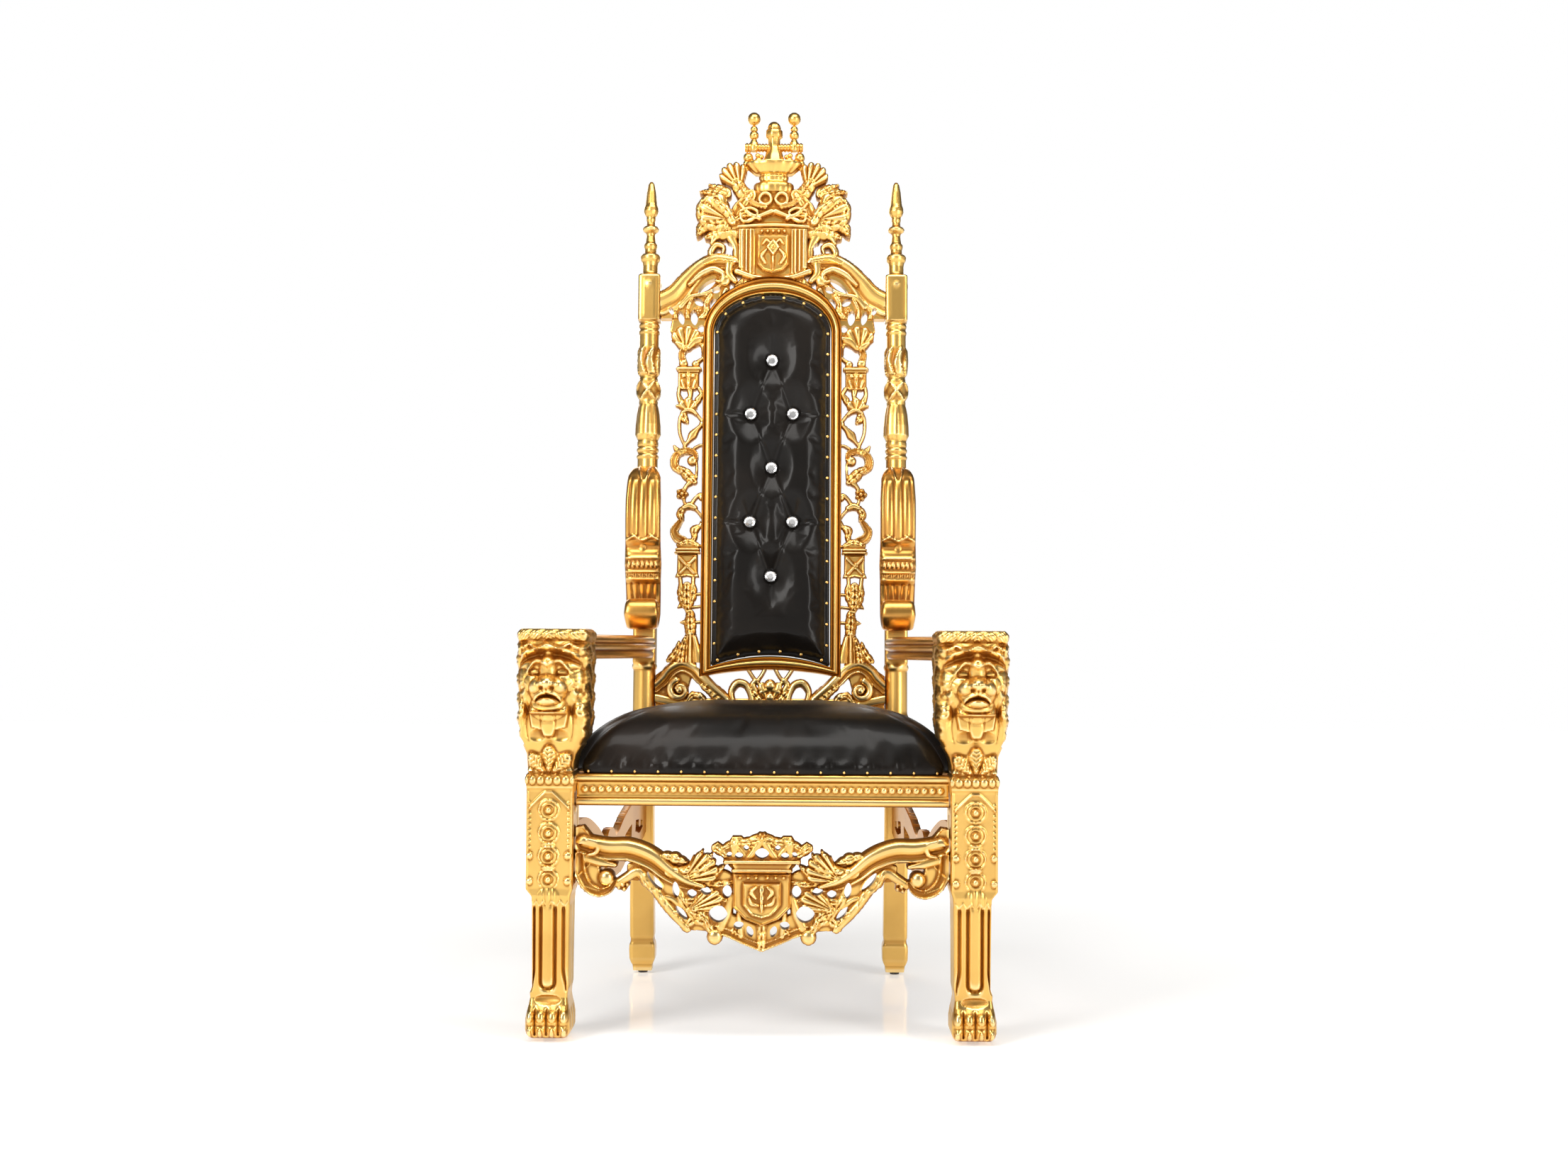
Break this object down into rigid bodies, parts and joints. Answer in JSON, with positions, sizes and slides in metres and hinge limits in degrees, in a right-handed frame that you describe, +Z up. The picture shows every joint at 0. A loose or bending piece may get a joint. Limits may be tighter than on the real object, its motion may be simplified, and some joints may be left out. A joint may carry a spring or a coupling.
{
  "type": "throne",
  "caption": "Tall carved and gilded throne chair with lion-head arm fronts, a pierced crest with a crown, an arched tufted back and a domed leather seat.",
  "frame": {"origin": "on the floor, at the middle of the throne's width and depth", "axes": "+Z up, the throne faces -Y, +X is the viewer's right"},
  "size_m": [0.849, 0.8156, 1.8298],
  "materials": {
    "gilt_wood": "carved wood under bright gold leaf, browner in the hollows",
    "black_leather": "glossy black upholstery leather",
    "crystal": "cut clear crystal",
    "dark_nylon": "plain dark furniture glide"
  },
  "bodies": {
    "root": {"arm_left": "gilt_wood", "arm_right": "gilt_wood", "arm_scroll_left": "gilt_wood", "arm_scroll_right": "gilt_wood", "back_post_left": "gilt_wood", "back_post_right": "gilt_wood", "crest_rail": "gilt_wood", "crown": "gilt_wood", "fretwork_left": "gilt_wood", "fretwork_right": "gilt_wood", "front_apron": "gilt_wood", "front_leg_left": "gilt_wood", "front_leg_right": "gilt_wood", "lower_rail": "gilt_wood", "panel_frame": "gilt_wood", "seat_rail_back": "gilt_wood", "seat_rail_front": "gilt_wood", "seat_rail_left": "gilt_wood", "seat_rail_right": "gilt_wood", "side_stretcher_left": "gilt_wood", "side_stretcher_right": "gilt_wood", "back_pad": "black_leather", "seat_cushion": "black_leather", "crystal_button_1": "crystal", "crystal_button_2": "crystal", "crystal_button_3": "crystal", "crystal_button_4": "crystal", "crystal_button_5": "crystal", "crystal_button_6": "crystal", "crystal_button_7": "crystal", "front_glide_left": "dark_nylon", "front_glide_right": "dark_nylon", "rear_glide_left": "dark_nylon", "rear_glide_right": "dark_nylon"}
  },
  "joints": []
}
